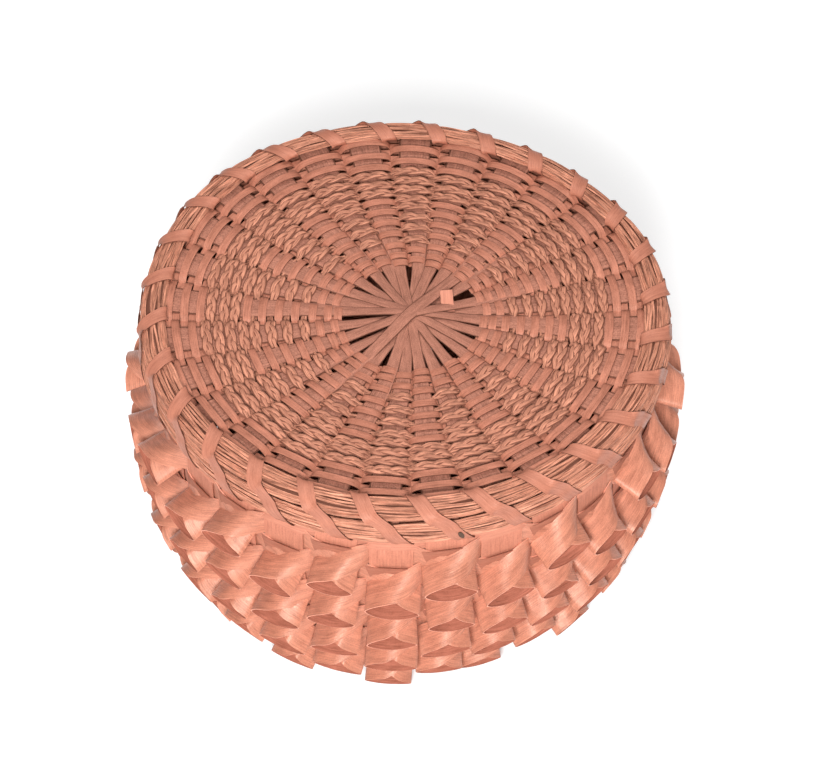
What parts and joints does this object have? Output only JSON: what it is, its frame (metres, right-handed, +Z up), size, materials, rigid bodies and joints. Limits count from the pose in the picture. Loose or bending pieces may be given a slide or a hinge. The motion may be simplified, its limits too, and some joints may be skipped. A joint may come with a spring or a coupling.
{
  "type": "ash splint basket",
  "caption": "Round covered basket woven of ash splint, with rows of curls round the wall, a lashed rim and a flat lid with braided sweetgrass that lifts off.",
  "frame": {"origin": "middle of the flat base, on the surface that the basket stands on", "axes": "+Z up along the basket's axis and the lid's lift, -Y towards the front of the picture"},
  "size_m": [0.2146, 0.2142, 0.1189],
  "materials": {
    "upright_ash": "matte",
    "curl_ash": "satin",
    "plain_ash": "satin",
    "lid_splint_ash": "matte",
    "lid_weaver_ash": "satin",
    "sweetgrass": "matte",
    "lid_lashing_ash": "satin"
  },
  "bodies": {
    "basket": {"base_weaver_a": "plain_ash", "base_weaver_b": "plain_ash", "body_splint_01": "upright_ash", "body_splint_02": "upright_ash", "body_splint_03": "upright_ash", "body_splint_04": "upright_ash", "body_splint_05": "upright_ash", "body_splint_06": "upright_ash", "body_splint_07": "upright_ash", "body_splint_08": "upright_ash", "body_splint_09": "upright_ash", "body_splint_10": "upright_ash", "body_splint_11": "upright_ash", "body_splint_12": "upright_ash", "body_splint_13": "upright_ash", "body_splint_14": "upright_ash", "curl_row_1": "curl_ash", "curl_row_2": "curl_ash", "curl_row_3": "curl_ash", "curl_row_4": "curl_ash", "curl_row_5": "curl_ash", "curl_row_6": "curl_ash", "curl_row_7": "curl_ash", "curl_row_8": "curl_ash", "heel_row_1": "plain_ash", "heel_row_2": "plain_ash", "rim_inner_hoop": "plain_ash", "rim_lashing": "curl_ash", "rim_outer_hoop": "plain_ash"},
    "lid": {"lid_braid_weaver_a": "sweetgrass", "lid_braid_weaver_b": "sweetgrass", "lid_inner_hoop": "lid_weaver_ash", "lid_inner_weaver_a": "lid_weaver_ash", "lid_inner_weaver_b": "lid_weaver_ash", "lid_lashing": "lid_lashing_ash", "lid_outer_weaver_a": "lid_weaver_ash", "lid_outer_weaver_b": "lid_weaver_ash", "lid_side_bundle": "sweetgrass", "lid_splint_01": "lid_splint_ash", "lid_splint_02": "lid_splint_ash", "lid_splint_03": "lid_splint_ash", "lid_splint_04": "lid_splint_ash", "lid_splint_05": "lid_splint_ash", "lid_splint_06": "lid_splint_ash", "lid_splint_07": "lid_splint_ash", "lid_splint_08": "lid_splint_ash", "lid_splint_09": "lid_splint_ash", "lid_splint_10": "lid_splint_ash", "lid_splint_11": "lid_splint_ash", "lid_splint_12": "lid_splint_ash", "lid_splint_13": "lid_splint_ash", "lid_splint_14": "lid_splint_ash", "lid_top_bundle": "sweetgrass"}
  },
  "joints": [
    {"name": "lid_lift", "type": "slide", "parent": "basket", "child": "lid", "axis": [0, 0, 1], "range_m": [0, 0.07]}
  ]
}
